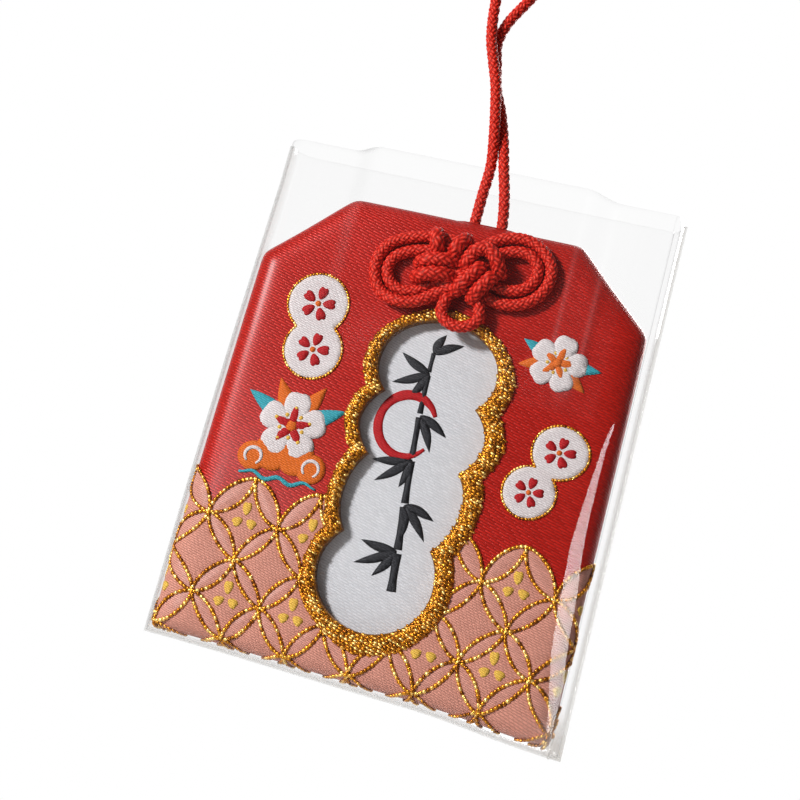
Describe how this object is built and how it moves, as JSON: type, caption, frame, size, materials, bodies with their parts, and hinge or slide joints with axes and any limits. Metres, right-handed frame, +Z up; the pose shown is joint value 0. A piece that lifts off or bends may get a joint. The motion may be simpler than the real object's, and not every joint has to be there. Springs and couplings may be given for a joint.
{
  "type": "amulet pouch",
  "caption": "Flat red brocade amulet pouch with a lobed gold-edged window, a tied red cord that rises into a hanging loop, and a clear film sleeve that pulls off.",
  "frame": {"origin": "where a hook bears, on the underside of the hanging loop's top", "axes": "+Z up along the pouch's height, -Y out of the pouch's front, +X to the right as seen from the front"},
  "size_m": [0.0604, 0.0117, 0.1222],
  "materials": {
    "brocade": "red satin twill with a woven pink and gold band",
    "gold_thread": "dense metallic gold thread, glittering",
    "white_satin": "white satin, fine weave",
    "card": "plain card",
    "paper": "plain paper",
    "slip_wood": "bare thin wood",
    "cord": "braided red cord",
    "clear_film": "clear glossy film"
  },
  "bodies": {
    "loop": {"hanging_loop": "cord"},
    "neck": {"left_neck_strand": "cord", "right_neck_strand": "cord"},
    "pouch": {"front_brocade": "brocade", "back_brocade": "brocade", "window_border": "gold_thread", "front_stiffener": "card", "insert_satin": "white_satin", "insert_board": "card", "slip_wrapper": "paper", "charm_slip": "slip_wood", "back_stiffener": "card", "knot_left_ear_outer": "cord", "knot_left_ear_inner": "cord", "knot_right_ear_outer": "cord", "knot_right_ear_inner": "cord", "knot_cross_wrap_upper": "cord", "knot_cross_wrap_lower": "cord", "knot_upright_wrap_left": "cord", "knot_upright_wrap_right": "cord", "knot_arched_wrap": "cord", "knot_slanted_wrap_left": "cord", "knot_slanted_wrap_right": "cord", "knot_drop_loop": "cord", "left_strand_root": "cord", "right_strand_root": "cord"},
    "sleeve": {"sleeve_front_film": "clear_film", "sleeve_back_film": "clear_film"}
  },
  "joints": [
    {"name": "side_swing", "type": "hinge", "parent": "loop", "child": "neck", "pos_m": [-0.00135, 0, -0.0285], "axis": [0, 1, 0], "range_deg": [-60, 60]},
    {"name": "front_swing", "type": "hinge", "parent": "neck", "child": "pouch", "pos_m": [0.00193, 0, -0.0407], "axis": [1, 0, 0], "range_deg": [-75, 75]},
    {"name": "sleeve_slide", "type": "slide", "parent": "pouch", "child": "sleeve", "axis": [0, 0, -1], "range_m": [0, 0.08]}
  ]
}
